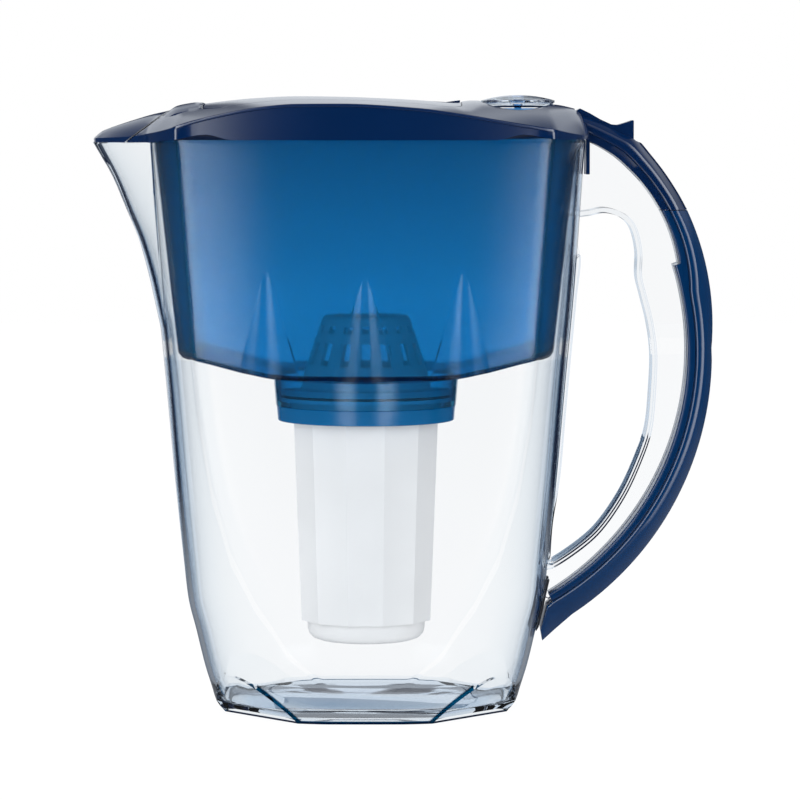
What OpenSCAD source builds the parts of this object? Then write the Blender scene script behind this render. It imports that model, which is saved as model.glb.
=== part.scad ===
// Water filter pitcher with flip lid: clear jug, blue hopper with a filter cartridge, hinged lid
// parts and a strap handle. Millimetres, +Z up, spout towards -X, handle towards +X.
// The origin is on the table under the cartridge's axis.

/* [Jug] */
// Height of the jug's rim above the table
rim_z = 241.5; // [238:0.5:245]
// Wall thickness of the clear jug
jug_wall = 2.2; // [1.8:0.1:2.8]
// Half length of the jug at its rim
jug_rim_a = 92.8; // [91:0.2:95]
// Depth of the front panel's centre at the rim
jug_rim_p = 57; // [55:0.5:60]
// Depth of the front panel's centre at the foot
jug_foot_p = 50.5; // [48:0.5:52]
// Height of the floor inside
floor_z = 9; // [7.5:0.5:12]
// How far the spout's tip stands beyond the rim
spout_reach = 23.2; // [18:0.2:26]
// Half width of the spout at the rim
spout_hw = 30; // [26:0.5:34]
// Thickness of the clear handle web
web_t = 6; // [4:0.5:8]
// Width of the band round the finger opening
band_w = 20; // [14:1:24]

/* [Funnel] */
// Wall thickness of the hopper
fun_wall = 2; // [1.6:0.1:2.6]
// Half length of the hopper just under its flange
fun_top_a = 90; // [88:0.5:90.2]
// Half length of the hopper at its lower corner
fun_low_a = 80.4; // [76:0.2:81]
// Height of the hopper's lower corner
fun_low_z = 155; // [150:0.5:160]
// Outside radius of the neck at its top
neck_r1 = 39.5; // [38.8:0.1:40.5]
// Outside radius of the neck at its foot
neck_r2 = 37.8; // [37.4:0.1:38.6]
// Depth of the six pressed flutes
flute_depth = 6.2; // [4:0.2:6.6]

/* [Cartridge] */
// Corner radius of the twelve-sided can at its top
can_r1 = 32; // [30:0.5:32.6]
// Corner radius of the can at its foot
can_r2 = 28.4; // [26:0.2:30]
// Radius of the cap's seating flange
seat_r = 36; // [35:0.1:36.3]

/* [Lid] */
// Half length of the lid's frame
lid_a = 95; // [94:0.5:97]
// Depth of the lid's front apron at its centre
lid_p = 59.4; // [58.5:0.2:62]
// Thickness of the lid's skin
lid_wall = 2.4; // [2:0.1:3]
// End of the flip lid on the handle side
hatch_x1 = 40; // [30:1:41]
// Half width of the flip lid
hatch_hw = 41; // [34:1:43]
// Gap all round the flip lid
hatch_gap = 0.5; // [0.4:0.1:0.8]
// Radius of the flip lid's hinge barrel
barrel_r = 3; // [2.6:0.1:3.2]
// Radius of the flip lid's hinge pin
hatch_pin_r = 1.25; // [1:0.05:1.5]
// Radial clearance of every turning pin in its hole
pin_gap = 0.05; // [0.02:0.01:0.1]
// Radius of the clear dial
dial_r = 15.7; // [14:0.1:16]
// Length of the thumb slide's travel
slide_travel = 4; // [3:0.5:4.5]

/* [Handle] */
// Half width of the grip cover
grip_hw = 12.5; // [11:0.5:14]
// Thickness of the inner strip of the grip
liner_t = 3.4; // [3:0.1:3.8]
// Height of the split between lid tail and grip
split_z = 212.8; // [210:0.2:215]

/* [Hidden] */
$fn = 64;
eps = 0.01;
hatch_axis = [-72, 254.9];
flap_axis = [-83.2, 253.5];
dial_c = [64.5, 0];
dial_floor = 255;
neck_split_z = 129.9;
neck_end_z = 126.3;
seat_z = 132;
slide_deg = 23;
slide_o = [88.6, 253.3];

// Measured outlines: [height, half length], [height, half width of the front panel].
jug_a = [[0, 61], [4, 64.3], [10, 66.2], [19, 69], [34, 72.6], [48, 76], [64, 77.8],
  [97, 81.2], [140, 84.9], [182, 88.7], [227, 91.8], [rim_z, jug_rim_a]];
jug_w = [[0, 16], [13, 17], [17, 19], [28, 31.5], [39, 38.5], [49, 45.6], [69, 55.7],
  [96, 63.4], [127, 68.6], [155, 71.5], [rim_z, 77.9]];
spout_s = [[163, 0], [175, 0.08], [183, 0.13], [200, 0.28], [213, 0.47], [227, 0.69], [rim_z, 1]];
jug_z = [0, 4, 10, 17, 28, 39, 49, 69, 96, 127, 155, 172, 186, 200, 213, 227, rim_z];

// Lid heights along X: crown on the middle line, top edge and lower edge of the rim.
crown_t = [[-115.6, 243.6], [-107, 247.7], [-98, 250.9], [-89.5, 253.5], [-82.2, 255.2],
  [-79, 256.3], [-70, 257.6], [-60, 258.9], [-48, 260.1], [-29, 261], [-11, 260.8],
  [8, 260.1], [23, 259.3], [38, 258.2], [43, 259.2], [64, 259], [81, 257.4], [89, 255.6], [95, 254]];
edge_t = [[-116, 243.2], [-98, 244.2], [-88, 245.6], [-80, 247.5], [-77, 248.6], [-71, 250.5],
  [-60, 253.2], [-45, 256], [-28, 257.5], [-10, 257.6], [22, 255.8], [42, 253.1], [60, 250],
  [79, 246.8], [88, 245], [95, 244]];
low_t = [[-120, 242.3], [-93, 242.3], [-80, 243.2], [-64, 244.4], [-55, 242.6], [55, 242.6],
  [64, 244.4], [76, 243.3], [95, 242.8]];

// ---- sections -------------------------------------------------------------------------------

// One quarter of a section from the end at (a, 0) to the middle of the front panel at (0, p).
function quarter(a, w, p, ne, np, n = 2.6, c = 0.0006) =
  let (
    yc = p - c * w * w,
    tw = acos(pow(w / a, n / 2)),
    b = yc / pow(sin(tw), 2 / n)
  )
  concat(
    [for (k = [0:ne - 1]) [a * pow(cos(tw * k / ne), 2 / n), b * pow(sin(tw * k / ne), 2 / n)]],
    [for (k = [0:np - 1]) [w * (1 - k / np), p - c * pow(w * (1 - k / np), 2)]],
    [[0, p]]
  );

// A closed section, anticlockwise from +X, with a beak of length s and half width hw at -X.
function section(a, w, p, s = 0, hw = 30, ne = 7, np = 5) =
  let (
    q = quarter(a, w, p, ne, np),
    m = ne + np,
    half = concat(q, [for (k = [m - 1:-1:0]) [-q[k][0], q[k][1]]]),
    top = [for (v = half) [
      v[0] < 0 && abs(v[1]) < hw ? v[0] - s * (1 - pow(abs(v[1]) / hw, 1.5)) : v[0],
      v[1]]]
  )
  concat(top, [for (k = [2 * m - 1:-1:1]) [top[k][0], -top[k][1]]]);

// Faces between m rings of n points each, closed by strips across the first and the last ring.
function loft_faces(n, m) =
  concat(
    [for (j = [0:m - 2]) for (i = [0:n - 1])
      let (a = j * n + i, b = j * n + (i + 1) % n) each [[a, a + n, b], [b, a + n, b + n]]],
    [for (i = [0:n / 2 - 1]) let (e = (n - i) % n, f = n - i - 1) each concat(
      i == 0 ? [] : [[i, f, e], [i + (m - 1) * n, e + (m - 1) * n, f + (m - 1) * n]],
      i == n / 2 - 1 ? [] : [[i, i + 1, f], [i + (m - 1) * n, f + (m - 1) * n, i + 1 + (m - 1) * n]])]
  );

module loft(rings) {
  polyhedron(points = [for (r = rings) each r], faces = loft_faces(len(rings[0]), len(rings)));
}

// ---- jug ------------------------------------------------------------------------------------

function jug_p(z) = jug_foot_p + (jug_rim_p - jug_foot_p) * z / rim_z;

// A ring of the jug at height z, t inside its outer face, drawn at height zd.
function jug_ring(z, t, zd) =
  [for (v = section(lookup(z, jug_a) - t, lookup(z, jug_w) - t / 2, jug_p(z) - t,
      z < 163 ? 0 : lookup(z, spout_s) * spout_reach - 0.5 * t * lookup(z, spout_s), spout_hw - t))
    [v[0], v[1], zd]];

module jug_outer() {
  loft([for (z = jug_z) jug_ring(z, 0, z)]);
}

module jug_inner() {
  z0 = floor_z;
  loft(concat(
    [jug_ring(z0 - 5, jug_wall + 4, z0), jug_ring(z0, jug_wall + 1, z0 + 3)],
    [for (z = jug_z) if (z > z0 + 6) jug_ring(z, jug_wall, z)],
    [jug_ring(rim_z, jug_wall, rim_z + 4)]));
}

// The four slanted corner cuts between the feet, moved in by t.
cut_normal = [0.59, 0.58, -0.55];
cut_reach = 44.8;
module corner_cuts(t) {
  az = atan2(cut_normal[1], cut_normal[0]);
  el = atan2(cut_normal[2], norm([cut_normal[0], cut_normal[1]]));
  for (sx = [0, 1]) for (sy = [0, 1])
    mirror([sx, 0, 0]) mirror([0, sy, 0])
      rotate([0, -el, az])
        translate([cut_reach - t, -80, -60]) cube([80, 160, 180]);
}

function pt(c, r, t) = [c[0] + r * cos(t), c[1] + r * sin(t)];
out_c1 = [14.3, 150.5];
out_r1 = 132.9;
out_c2 = [33, 163.7];
out_r2 = 114.4;
in_c1 = [15.7, 152.6];
in_r1 = 120.7;
in_c2 = [63.5, 178.9];
in_r2 = 70.2;
function out_x(z) = out_c2[0] + sqrt(out_r2 * out_r2 - pow(z - out_c2[1], 2));
function in_x(z) = z < 190 ? in_c1[0] + sqrt(in_r1 * in_r1 - pow(z - in_c1[1], 2))
  : in_c2[0] + sqrt(in_r2 * in_r2 - pow(z - in_c2[1], 2));

module finger_opening_2d() {
  offset(r = 3) offset(delta = -3)
    polygon([[88, 209.4], [95, 210.6], [101.4, 211.7], [108.2, 209.6], [112.5, 204.9], [114.8, 195.5],
      [114.8, 185], [116.7, 176.8], [119.6, 165.3], [121.4, 152.1], [121, 136.7], [119.4, 120],
      [115, 106.5], [108.2, 91.8], [98.7, 77.9], [89, 69.2], [78, 62.2], [72, 60]]);
}

// The clear handle's outline, t beyond the blue grip's inner edge.
module web_2d(t) {
  intersection() {
    union() {
      difference() {
        translate(in_c1) circle(r = in_r1 + t, $fn = 96);
        translate([0, 190.3]) square([200, 100]);
      }
      intersection() {
        translate(in_c2) circle(r = in_r2 + t, $fn = 72);
        translate([0, 190.2]) square([200, 100]);
      }
    }
    polygon([[66, 32], [120, 32], [160, 120], [160, 241.2], [80, 241.2], [86, 200], [76, 80]]);
  }
}

module jug_body() {
  color([0.86, 0.91, 0.95, 0.35])
    difference() {
      union() {
        difference() {
          jug_outer();
          corner_cuts(0);
        }
        rotate([90, 0, 0])
          linear_extrude(web_t, center = true)
            difference() {
              web_2d(2.4);
              finger_opening_2d();
            }
        rotate([90, 0, 0])
          linear_extrude(band_w, center = true)
            intersection() {
              difference() {
                offset(delta = 2.4) finger_opening_2d();
                finger_opening_2d();
              }
              polygon([[75, 40], [140, 40], [140, 220], [90.5, 220], [84.5, 150], [78.5, 80]]);
            }
      }
      difference() {
        jug_inner();
        corner_cuts(jug_wall);
      }
    }
}

// ---- handle grip ----------------------------------------------------------------------------

// Sections between an inner and an outer edge line: [share from inner to outer, share of width].
function grip_loop(r0, r1) = concat(
  [[0, -r0], [0, r0]],
  [[0.08, r0 + 0.6 * (1 - r0)], [0.25, 1], [0.62, 1], [0.82, 0.93], [0.94, 0.78], [1, r1]],
  [[1, -r1], [0.94, -0.78], [0.82, -0.93], [0.62, -1], [0.25, -1], [0.08, -r0 - 0.6 * (1 - r0)]]);

module sweep(inner, outer, hw, loop) {
  n = len(loop);
  m = len(inner);
  pts = [for (j = [0:m - 1]) for (v = loop)
    [inner[j][0] + (outer[j][0] - inner[j][0]) * v[0], hw[j] * v[1],
     inner[j][1] + (outer[j][1] - inner[j][1]) * v[0]]];
  faces = concat(
    [for (j = [0:m - 2]) for (i = [0:n - 1])
      let (a = j * n + i, b = j * n + (i + 1) % n) each [[a, b, a + n], [b, b + n, a + n]]],
    [for (i = [1:n - 2]) [0, i + 1, i]],
    [for (i = [1:n - 2]) [(m - 1) * n, (m - 1) * n + i, (m - 1) * n + i + 1]]);
  polyhedron(points = pts, faces = faces);
}

grip_k = 11;
grip_zs = [150.5, 163, 176, 189.4, 190.4, 201, split_z];
function grip_in(t) = concat(
  [[73.9 + t, 34.5], [75.6 + t, 41.5]],
  [for (k = [0:grip_k - 1]) pt(in_c1, in_r1 + t, -59 + k * 58 / grip_k)],
  [for (z = grip_zs) [in_x(z) + t, z]]);
function grip_out() = concat(
  [[75.4, 28.6], [80.6, 33.4]],
  [for (k = [0:grip_k - 1]) pt(out_c1, out_r1, -56.5 + k * 56 / grip_k)],
  [for (z = grip_zs) [out_x(z), z]]);
grip_n = grip_k + 9;
function grip_w(w) = [for (k = [0:grip_n - 1]) w * (k < 5 ? 0.72 + 0.28 * k / 5 : 1)];

module handle_cover() {
  color([0.02, 0.2, 0.42])
    sweep(grip_in(liner_t + 0.1), grip_out(), grip_w(grip_hw), grip_loop(0.86, 0.5));
}

module handle_liner() {
  mid = grip_in(liner_t);
  color([0.02, 0.24, 0.48])
    difference() {
      sweep([for (k = [2:grip_n - 1]) grip_in(0)[k]], [for (k = [2:grip_n - 1]) mid[k]],
        [for (k = [2:grip_n - 1]) grip_w(grip_hw)[k] * 0.86], [[0, -0.85], [0, 0.85], [0.4, 1],
        [1, 1], [1, -1], [0.4, -1]]);
      rotate([90, 0, 0])
        linear_extrude(web_t + 0.2, center = true)
          web_2d(2.45);
    }
}

module handle_catch() {
  color([0.01, 0.12, 0.28])
    rotate([90, 0, 0])
      difference() {
        linear_extrude(16, center = true)
          polygon([[77, 55.5], [78.3, 55.2], [77, 49.5], [75.5, 42.2], [73.7, 35], [72.6, 33.2],
            [73.85, 39], [76.25, 49]]);
        linear_extrude(web_t + 0.2, center = true) web_2d(2.45);
      }
}

// ---- funnel ---------------------------------------------------------------------------------

function fun_ring(z, t, zd) =
  let (
    k = (z - fun_low_z) / (rim_z - fun_low_z),
    a = fun_low_a + (fun_top_a - fun_low_a) * k,
    w = 71.3 + (77.2 - 71.3) * k,
    p = 47 + (54.4 - 47) * k
  )
  [for (v = section(a - t, w - t / 2, p - t)) [v[0], v[1], zd]];

// The sloping floor: a share k from the corner ring to a circle of radius r at height z.
function fun_floor(k, t, r, z) =
  let (c = fun_ring(fun_low_z, t, 0))
  [for (v = c) let (u = norm([v[0], v[1]]))
    [v[0] + (v[0] * r / u - v[0]) * k, v[1] + (v[1] * r / u - v[1]) * k,
     (fun_low_z - 2.6) + (z - fun_low_z + 2.6) * k]];

module fun_solid(t, top) {
  loft([
    [for (v = fun_floor(1, t, 36, 141)) v + [0, 0, t]],
    [for (v = fun_floor(0.5, t, 36, 141)) v + [0, 0, t]],
    [for (v = fun_floor(0.04, t, 36, 141)) v + [0, 0, t]],
    fun_ring(fun_low_z, t, fun_low_z + t * 0.6),
    fun_ring(fun_low_z + 30, t, fun_low_z + 30),
    fun_ring(fun_low_z + 58, t, fun_low_z + 58),
    fun_ring(rim_z, t, top)]);
}

// Conical flutes pressed into both broad sides, points up.
module flutes(t) {
  for (s = [-1, 1]) for (f = [[-42.8, 192], [0, 187], [42.8, 192]]) {
    h = f[1] - 144.2;
    d = flute_depth;
    r = (14 * 14 + d * d) / (2 * d);
    yt = s * (47 + 7.4 * (f[1] - fun_low_z) / (rim_z - fun_low_z) - 0.0006 * f[0] * f[0]);
    yb = s * (46.2 - 0.0006 * f[0] * f[0] + r - d);
    hull_cone([f[0], yt, f[1]], [f[0], yb, 144.2], r, t);
  }
}

// A cone with its point at a and its base round b, grown by t.
module hull_cone(a, b, r, t) {
  v = b - a;
  l = norm(v);
  az = atan2(v[1], v[0]);
  el = acos(v[2] / l);
  translate(a) rotate([0, el, az]) translate([0, 0, -t * 1.4])
    cylinder(r1 = 0.6 + t * 0.4, r2 = r + t * 1.02, h = l + t * 1.4 + 2, $fn = 64);
}

module funnel() {
  color([0.02, 0.3, 0.58, 0.7])
    difference() {
      union() {
        difference() {
          fun_solid(0, rim_z + 1.9);
          flutes(0);
        }
        loft([for (z = [rim_z, rim_z + 2])
          [for (v = section(92.6, 77.8, 56.8)) [v[0], v[1], z]]]);
        translate([0, 0, neck_split_z])
          cylinder(r1 = neck_r2 + 0.6, r2 = neck_r1, h = 143.4 - neck_split_z);
      }
      difference() {
        fun_solid(fun_wall, rim_z + 6);
        flutes(fun_wall);
      }
      translate([0, 0, seat_z]) cylinder(r = 37, h = 16);
      translate([0, 0, neck_split_z - 1]) cylinder(r = 33.6, h = 20);
    }
}

module neck_ring() {
  color([0.1, 0.38, 0.62, 0.8])
    translate([0, 0, neck_end_z])
      difference() {
        cylinder(r1 = neck_r2 - 0.2, r2 = neck_r2 + 0.3, h = neck_split_z - neck_end_z - 0.05);
        translate([0, 0, -1]) cylinder(r = 33.8, h = 8);
      }
}

// ---- cartridge ------------------------------------------------------------------------------

can_z0 = 38;
can_z1 = 131.9;
module cartridge_can() {
  color([0.93, 0.94, 0.95])
    difference() {
      union() {
        translate([0, 0, can_z0])
          rotate([0, 0, 15]) cylinder(r1 = can_r2, r2 = can_r1, h = can_z1 - can_z0, $fn = 12);
        translate([0, 0, seat_z]) cylinder(r = seat_r, h = 1.6);
        translate([0, 0, can_z1 - 2]) cylinder(r = 32.4, h = 2.5);
      }
      translate([0, 0, can_z0 - 1])
        rotate([0, 0, 15]) cylinder(r1 = can_r2 - 2, r2 = can_r1 - 1.9, h = 98, $fn = 12);
    }
}

module cartridge_base() {
  color([0.94, 0.95, 0.95])
    difference() {
      union() {
        translate([0, 0, 32.4]) cylinder(r = 25.2, h = 8.6);
        translate([0, 0, 30.4]) cylinder(r1 = 22.6, r2 = 25.2, h = 2);
      }
      translate([0, 0, 32.2]) cylinder(r = 23.4, h = 20);
      for (k = [0:11]) rotate([0, 0, 30 * k])
        translate([12, -0.9, 29]) cube([8, 1.8, 6]);
    }
}

module outlet_mesh() {
  color([0.8, 0.82, 0.84])
    translate([0, 0, 41.1]) cylinder(r = 24.6, h = 0.8);
}

module filter_media() {
  color([0.2, 0.19, 0.18])
    translate([0, 0, 42])
      cylinder(r1 = 24.6, r2 = 27.5, h = 88);
}

module inlet_mesh() {
  color([0.8, 0.82, 0.84])
    translate([0, 0, 130.2]) cylinder(r = 27.6, h = 0.9);
}

module cartridge_cap() {
  color([0.95, 0.96, 0.97])
    difference() {
      rotate_extrude()
        polygon([[0, 168], [17.4, 168], [18.6, 167], [25.7, 145.3], [27.6, 138.2], [31, 137.4], [36, 137.4],
          [36, 134.9], [34.7, 134.9], [34.7, 133.7], [30, 133.7], [30, 136], [26, 138], [24, 145.4],
          [17.2, 166.2], [0, 166.2]]);
      for (k = [0:15]) rotate([0, 0, 22.5 * k]) {
        translate([16, -2.1, 147.2]) cube([14, 4.2, 9.6]);
        translate([14, -1.7, 161]) cube([12, 3.4, 3]);
      }
    }
}

module cartridge_seal() {
  color([0.25, 0.26, 0.28])
    translate([0, 0, 134.3])
      rotate_extrude() translate([35.65, 0]) circle(r = 0.55, $fn = 24);
}

// ---- lid ------------------------------------------------------------------------------------

lid_s = [1, 0.97, 0.88, 0.7, 0.45, 0.15];
lid_ne = 7;
lid_np = 7;

// The lid's outer shape, its outline t inside and its top d lower, beak length b.
module lid_layer(t, d, b, low) {
  o = section(lid_a - t, 78.4 - t / 2, lid_p - t, b, spout_hw - t, lid_ne, lid_np);
  loft(concat(
    [[for (v = o) [v[0], v[1], low == undef ? lookup(v[0], low_t) : low]]],
    [for (s = lid_s) [for (v = o) let (
      xs = 0.93 * v[0],
      ze = lookup(v[0], edge_t),
      zc = lookup(xs, crown_t))
      [xs + (v[0] - xs) * s, v[1] * s, ze + (zc - ze) * (1 - s * s) - d]]]));
}

// Everything above and left of the seam between spout flap and frame, moved down by t.
module seam_side(t) {
  rotate([90, 0, 0])
    linear_extrude(140, center = true)
      translate([-98 + t * 0.6, 243 - t * 0.8])
        polygon([[-40, -30], [32, 24], [32, 60], [-60, 60]]);
}

// Plan of the flip lid, grown by g; its swing takes a wider gap beside the hinge.
module hatch_2d(g, inset = 0) {
  x0 = -67.4 + inset - 2.2 * g;
  x1 = hatch_x1 - inset + g;
  y1 = hatch_hw - inset + g;
  translate([x0, -y1]) offset(r = 12) offset(delta = -12) square([x1 - x0, 2 * y1]);
  if (inset == 0) translate([hatch_axis[0], -12 - g]) square([8, 24 + 2 * g]);
}

module y_rod(p, r, h, fn = 48) {
  translate([p[0], 0, p[1]]) rotate([90, 0, 0]) cylinder(r = r, h = h, center = true, $fn = fn);
}

// The tail's edges from the split up to the lid.
function tail_out() = concat(
  [for (z = [split_z + 0.3, 220, 228.5, 236]) [out_x(z) - (z - split_z) * 0.03, z]],
  [[114, 242.4], [107, 245.2], [98, 249], [88.6, 253], [83, 254.6]]);
function tail_in() = concat([[in_x(split_z + 0.3), split_z + 0.3]],
  [for (t = [34.5, 40, 45]) pt(in_c2, in_r2, t)],
  [[106.6, 234.6], [100.4, 238.7], [94, 242], [88.2, 244.6], [86, 246.2]]);
tail_w = [12.5, 12.5, 12.5, 12.5, 12.3, 12, 11.6, 11, 10.2];

module slide_frame() {
  translate([slide_o[0], 0, slide_o[1]]) rotate([0, slide_deg, 0]) children();
}

module lid_frame() {
  color([0.01, 0.17, 0.36])
    difference() {
      union() {
        difference() {
          lid_layer(0, 0, 115.6 - lid_a);
          intersection() {
            lid_layer(3.2, lid_wall, 0, 238);
            difference() {
              translate([-120, -80, 230]) cube([240, 160, 40]);
              seam_side(3.4);
            }
          }
        }
        intersection() {
          difference() {
            lid_layer(2, 0.5, 0);
            lid_layer(3.2, lid_wall + 2.6, 0, 238);
          }
          linear_extrude(600, center = true)
            difference() {
              hatch_2d(2);
              hatch_2d(0, 4);
              translate([-80, -22]) square([16, 44]);
            }
        }
        intersection() {
          lid_layer(2, 0.6, 0);
          translate([45, -36, 252.6]) cube([39, 72, 12]);
        }
        for (s = [-1, 1]) translate([0, s * 16.2, 0]) y_rod(hatch_axis, barrel_r, 7.6);
        sweep(tail_in(), tail_out(), tail_w, grip_loop(0.82, 0.6));
        for (s = [-1, 1]) translate([93.4, s * 7 - 2.6, 228]) cube([2.2, 5.2, 16]);
      }
      difference() {
        linear_extrude(600, center = true) hatch_2d(hatch_gap);
        lid_layer(2.8, lid_wall + 0.3, 0, 239);
      }
      loft([for (z = [230, rim_z + 2]) [for (v = section(93.1, 77.9, 57.3)) [v[0], v[1], z]]]);
      for (s = [-1, 1]) translate([0, s * 16.2, 0]) y_rod(hatch_axis, hatch_pin_r, 9, 36);
      y_rod(hatch_axis, 3.5, 24.6);
      intersection() {
        y_rod(hatch_axis, 4.4, 24.6);
        translate([-80, -20, hatch_axis[1]]) cube([20, 40, 10]);
      }
      seam_side(0);
      y_rod(flap_axis, 1.8, 14.8, 36);
      intersection() {
        y_rod(flap_axis, 2.4, 110, 36);
        difference() {
          translate([-90, -60, flap_axis[1] - 0.2]) cube([20, 120, 10]);
          for (s = [-1, 1]) translate([-91, s * 8.4 - 1, flap_axis[1] - 10]) cube([22, 2, 10.9]);
        }
      }
      y_rod(flap_axis, 0.6, 19, 24);
      rotate([90, 0, 0])
        linear_extrude(140, center = true)
          translate([dial_c[0], dial_floor + 0.1 + 36.6])
            circle(r = 36.6, $fn = 72);
      translate([dial_c[0], 0, dial_floor]) cylinder(r = dial_r + 0.5, h = 20);
      translate([dial_c[0], 0, 240]) cylinder(r = 1.5, h = 30, $fn = 36);
      rotate([90, 0, 0])
        linear_extrude(web_t + 0.6, center = true)
          offset(delta = 0.3) web_2d(2.4);
      slide_frame() {
        translate([-1, -7.4, -0.15]) cube([40, 14.8, 20]);
        translate([5, -2.9, -4.4]) cube([23, 5.8, 6]);
      }
    }
}

module flip_lid() {
  color([0.02, 0.2, 0.42])
    difference() {
      union() {
        intersection() {
          difference() {
            lid_layer(0, 0, 0);
            lid_layer(3.2, lid_wall, 0, 238);
          }
          linear_extrude(600, center = true) hatch_2d(0);
        }
        y_rod(hatch_axis, barrel_r, 24);
      }
      y_rod(hatch_axis, hatch_pin_r + pin_gap, 30, 36);
    }
}

module flip_lid_pin() {
  color([0.75, 0.76, 0.78])
    y_rod(hatch_axis, hatch_pin_r, 40, 36);
}

module spout_flap() {
  color([0.02, 0.2, 0.42])
    difference() {
      union() {
        intersection() {
          difference() {
            lid_layer(0, 0, 115.6 - lid_a);
            intersection() {
              lid_layer(2.4, 2, 115.6 - lid_a, 238);
              seam_side(-2.4);
            }
          }
          seam_side(-0.35);
          translate([-130, -60, 230]) cube([130 + flap_axis[0], 120, 40]);
        }
        y_rod(flap_axis, 1.4, 14, 36);
      }
      y_rod(flap_axis, 0.6 + pin_gap, 30, 24);
      for (s = [-1, 1]) translate([-85.6, s * 8.5 - 1.4, 251]) cube([4, 2.8, 8]);
    }
}

module spout_flap_pin() {
  color([0.75, 0.76, 0.78])
    y_rod(flap_axis, 0.6, 18.6, 24);
}

// ---- dial -----------------------------------------------------------------------------------

dome_r = (dial_r * dial_r + 2.3 * 2.3) / (2 * 2.3);
module dial_dome() {
  color([0.85, 0.92, 0.97, 0.35])
    translate([dial_c[0], 0, 0])
      difference() {
        rotate_extrude()
          polygon(concat(
            [for (k = [0:6]) let (x = dial_r * k / 6) [x, 261.5 - dome_r + sqrt(dome_r * dome_r - x * x)]],
            [[dial_r, 258.4], [dial_r - 0.5, 258.2], [dial_r - 1.2, 256.3], [dial_r - 2.4, 256.3],
             [dial_r - 1.9, 258.4]],
            [for (k = [5:-1:2]) let (x = dial_r * k / 6) [x, 260.2 - dome_r + sqrt(dome_r * dome_r - x * x)]],
            [[3.2, 259.9], [3.2, 256.3], [0, 256.3]]));
        translate([0, 0, 250]) cylinder(r = 1.5 + pin_gap, h = 8.4, $fn = 36);
      }
}

module dial_disc() {
  color([0.3, 0.6, 0.9])
    translate([dial_c[0], 0, dial_floor])
      difference() {
        cylinder(r = dial_r - 0.6, h = 0.9);
        translate([0, 0, -1]) cylinder(r = 1.7, h = 4, $fn = 36);
      }
}

module dial_pin() {
  color([0.1, 0.3, 0.6])
    translate([dial_c[0], 0, 251])
      union() {
        cylinder(r = 1.5, h = 7.2, $fn = 36);
        cylinder(r = 3, h = 1.6, $fn = 36);
      }
}

// ---- thumb slide ----------------------------------------------------------------------------

module thumb_slide() {
  color([0.02, 0.2, 0.42])
    union() {
      rotate([90, 0, 0])
        linear_extrude(14, center = true)
          polygon([[88.7, 253.45], [89, 254.9], [90.7, 255.8], [94.8, 253.8], [99.3, 251.2], [103.9, 249.1],
            [106.7, 248.9], [109.5, 249.7], [113, 250.9], [113.4, 250.6], [113.4, 242.95]]);
      slide_frame() {
        translate([6, -2.5, -3.9]) cube([9, 5, 4.2]);
      }
    }
}

// A round wire coil along +X: mean radius r, wire radius w, length h.
module coil(r, w, h, turns, steps = 9, sides = 6) {
  n = turns * steps;
  pts = [for (j = [0:n]) for (i = [0:sides - 1])
    let (t = j * 360 / steps, u = i * 360 / sides, q = r + w * cos(u))
    [h * j / n + w * sin(u), q * cos(t), q * sin(t)]];
  faces = concat(
    [for (j = [0:n - 1]) for (i = [0:sides - 1])
      let (a = j * sides + i, b = j * sides + (i + 1) % sides)
        each [[a, a + sides, b], [b, a + sides, b + sides]]],
    [[for (i = [0:sides - 1]) i]],
    [[for (i = [sides - 1:-1:0]) n * sides + i]]);
  polyhedron(points = pts, faces = faces);
}

module slide_spring() {
  color([0.7, 0.7, 0.72])
    slide_frame()
      translate([15.5, 0, -2.1]) coil(1.5, 0.28, 6.4, 5);
}

// ---- nodes ----------------------------------------------------------------------------------

jug_body();
handle_cover();
handle_liner();
handle_catch();
funnel();
neck_ring();
cartridge_can();
cartridge_base();
cartridge_cap();
cartridge_seal();
outlet_mesh();
inlet_mesh();
filter_media();
lid_frame();
flip_lid();
flip_lid_pin();
spout_flap();
spout_flap_pin();
dial_dome();
dial_disc();
dial_pin();
thumb_slide();
slide_spring();
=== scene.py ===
"""Looks of the water filter pitcher: clear jug, blue hopper, navy lid and strap handle.

Every piece is shaped in millimetres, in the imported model's frame, and brought to metres by done().
"""

import math

import bpy
from mathutils import Matrix, Vector


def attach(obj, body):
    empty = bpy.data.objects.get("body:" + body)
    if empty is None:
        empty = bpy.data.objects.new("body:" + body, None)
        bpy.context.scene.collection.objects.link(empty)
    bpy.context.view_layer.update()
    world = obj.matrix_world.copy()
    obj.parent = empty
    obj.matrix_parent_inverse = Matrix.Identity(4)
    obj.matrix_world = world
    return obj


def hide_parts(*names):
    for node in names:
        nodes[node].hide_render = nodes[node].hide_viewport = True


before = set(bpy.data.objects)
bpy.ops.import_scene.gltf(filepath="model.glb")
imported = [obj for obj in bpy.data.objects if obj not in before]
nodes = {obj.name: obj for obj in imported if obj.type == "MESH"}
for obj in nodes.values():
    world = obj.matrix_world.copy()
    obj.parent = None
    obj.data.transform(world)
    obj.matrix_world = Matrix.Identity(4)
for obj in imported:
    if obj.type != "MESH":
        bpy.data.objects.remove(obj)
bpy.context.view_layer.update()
MM = 0.001

# ---- the view and the studio ----------------------------------------------------------------

EYE = (0.0145, -1.576, 0.251)
TILT_DOWN = 4.33
LENS = 166.5

scene = bpy.context.scene
scene.view_settings.view_transform = "Standard"
scene.cycles.use_denoising = True
scene.cycles.max_bounces = 24
scene.cycles.transmission_bounces = 20
scene.cycles.transparent_max_bounces = 16
scene.cycles.glossy_bounces = 8

bpy.ops.object.camera_add(location=EYE, rotation=(math.radians(90 - TILT_DOWN), 0, 0))
camera = bpy.context.object
camera.data.lens = LENS
camera.data.clip_end = 20
scene.camera = camera


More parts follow.
